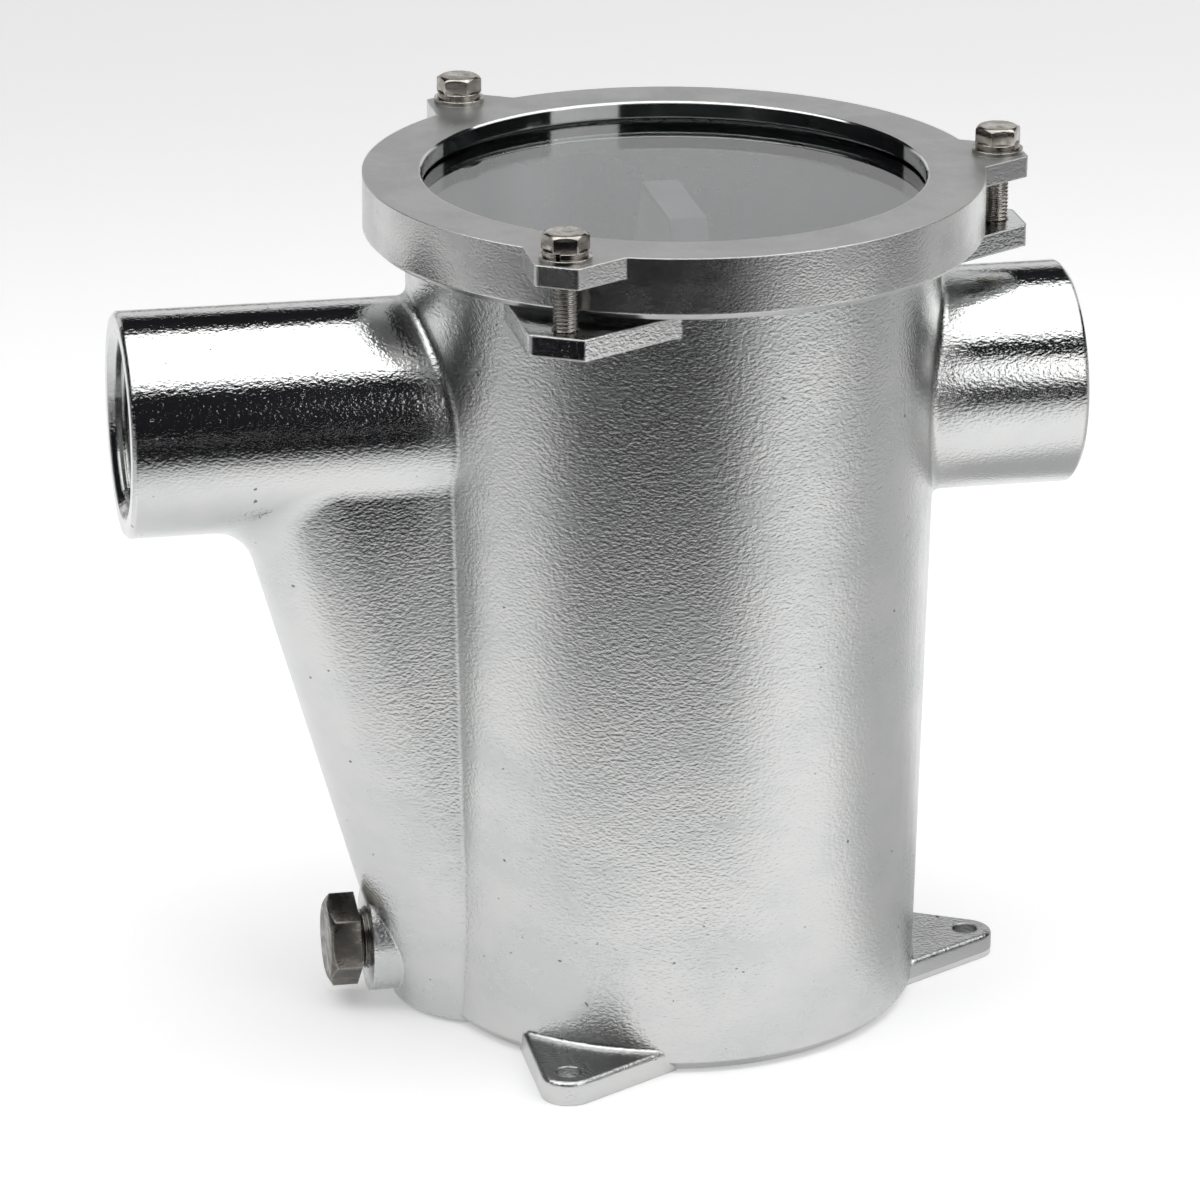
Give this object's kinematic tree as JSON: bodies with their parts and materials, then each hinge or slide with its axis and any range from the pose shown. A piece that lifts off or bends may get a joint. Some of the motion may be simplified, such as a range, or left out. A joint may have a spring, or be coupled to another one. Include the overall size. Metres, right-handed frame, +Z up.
{
  "type": "sea water strainer",
  "caption": "Cast bowl strainer with in-line threaded pipes, slanting inlet duct, clear screwed lid, lift-out basket, drain plug and fixing feet.",
  "frame": {"origin": "on the bowl's axis, at the underside of the base", "axes": "+X towards the outlet pipe, along both pipes; +Z up along the bowl's axis"},
  "size_m": [0.311, 0.208, 0.2899],
  "materials": {
    "cast_steel": "fine bead-blasted and polished casting",
    "machined_steel": "fine turned satin",
    "screw_steel": "bright",
    "sheet_steel": "satin sheet",
    "clear_plastic": "clear gloss",
    "seal_rubber": "matt",
    "plug_metal": "dark satin"
  },
  "bodies": {
    "strainer": {"strainer_body": "cast_steel", "rim_seal": "seal_rubber"},
    "lid": {"lid_ring": "machined_steel", "window_disc": "clear_plastic", "window_seal": "seal_rubber", "flat_washer_a": "screw_steel", "spring_washer_a": "screw_steel", "flat_washer_b": "screw_steel", "spring_washer_b": "screw_steel", "flat_washer_c": "screw_steel", "spring_washer_c": "screw_steel"},
    "screw_a": {"clamp_bolt_a": "screw_steel"},
    "screw_b": {"clamp_bolt_b": "screw_steel"},
    "screw_c": {"clamp_bolt_c": "screw_steel"},
    "basket": {"basket_shell": "sheet_steel", "basket_base": "sheet_steel", "basket_rim": "sheet_steel", "basket_handle": "sheet_steel", "handle_rivet_a": "screw_steel", "handle_rivet_b": "screw_steel"},
    "drain": {"drain_plug": "plug_metal"}
  },
  "joints": [
    {"name": "lid_lift", "type": "slide", "parent": "strainer", "child": "lid", "axis": [0, 0, 1], "range_m": [0, 0.3]},
    {"name": "screw_a_turn", "type": "hinge", "parent": "lid", "child": "screw_a", "pos_m": [-0.0535, -0.09266, 0.281], "axis": [0, 0, 1], "continuous": true},
    {"name": "screw_b_turn", "type": "hinge", "parent": "lid", "child": "screw_b", "pos_m": [0.107, 0, 0.281], "axis": [0, 0, 1], "continuous": true},
    {"name": "screw_c_turn", "type": "hinge", "parent": "lid", "child": "screw_c", "pos_m": [-0.0535, 0.09266, 0.281], "axis": [0, 0, 1], "continuous": true},
    {"name": "basket_lift", "type": "slide", "parent": "strainer", "child": "basket", "axis": [0, 0, 1], "range_m": [0, 0.255]},
    {"name": "drain_plug_draw", "type": "slide", "parent": "strainer", "child": "drain", "axis": [-1, 0, 0], "range_m": [0, 0.03]}
  ],
  "couplings": [
    {"joint": "basket_lift", "follows": "lid_lift", "ratio": 0.85}
  ]
}
